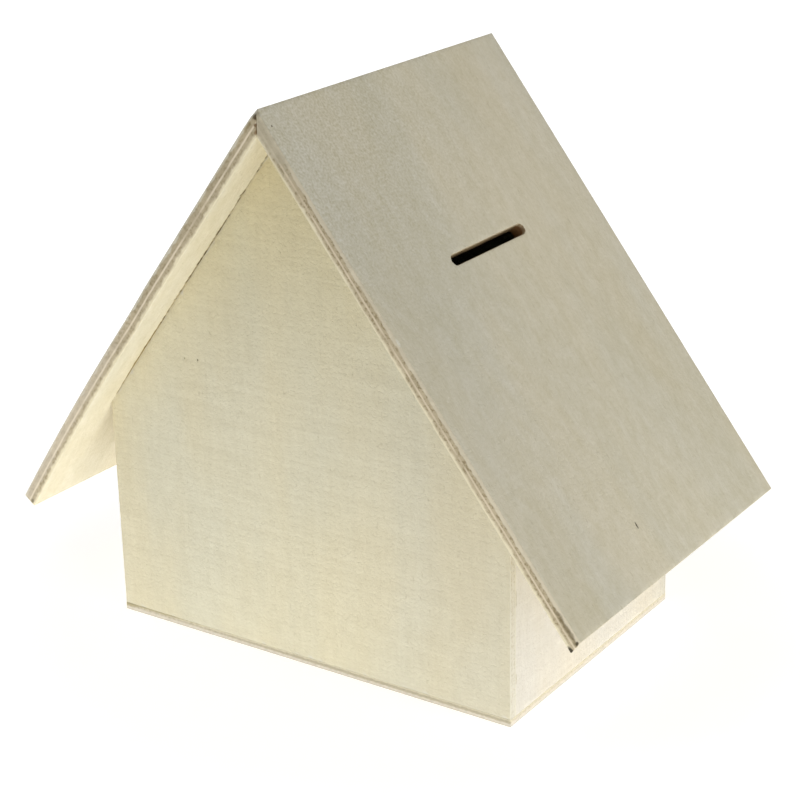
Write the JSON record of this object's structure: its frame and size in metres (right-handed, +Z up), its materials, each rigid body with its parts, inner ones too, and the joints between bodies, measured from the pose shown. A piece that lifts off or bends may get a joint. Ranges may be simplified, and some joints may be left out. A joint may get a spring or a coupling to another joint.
{
  "type": "wooden money box",
  "caption": "House-shaped plywood money box with a coin slot in one roof slope and a pull-out stopper in the base.",
  "frame": {"origin": "on the surface that the box stands on, under the middle of the house", "axes": "+Z up, +X to the roof slope with the coin slot, -Y out of the front gable, ridge along Y"},
  "size_m": [0.169, 0.101, 0.1449],
  "materials": {
    "wall_plywood": "raw sanded plywood",
    "roof_plywood": "raw sanded plywood",
    "base_plywood": "raw plywood",
    "stopper_plastic": "soft moulded plastic"
  },
  "bodies": {
    "house": {"front_gable": "wall_plywood", "rear_gable": "wall_plywood", "left_side_wall": "wall_plywood", "right_side_wall": "wall_plywood", "base_plate": "base_plywood", "left_roof_panel": "roof_plywood", "right_roof_panel": "roof_plywood"},
    "stopper": {"base_stopper": "stopper_plastic"}
  },
  "joints": [
    {"name": "stopper_pull", "type": "slide", "parent": "house", "child": "stopper", "axis": [0, 0, -1], "range_m": [0, 0.03]}
  ]
}
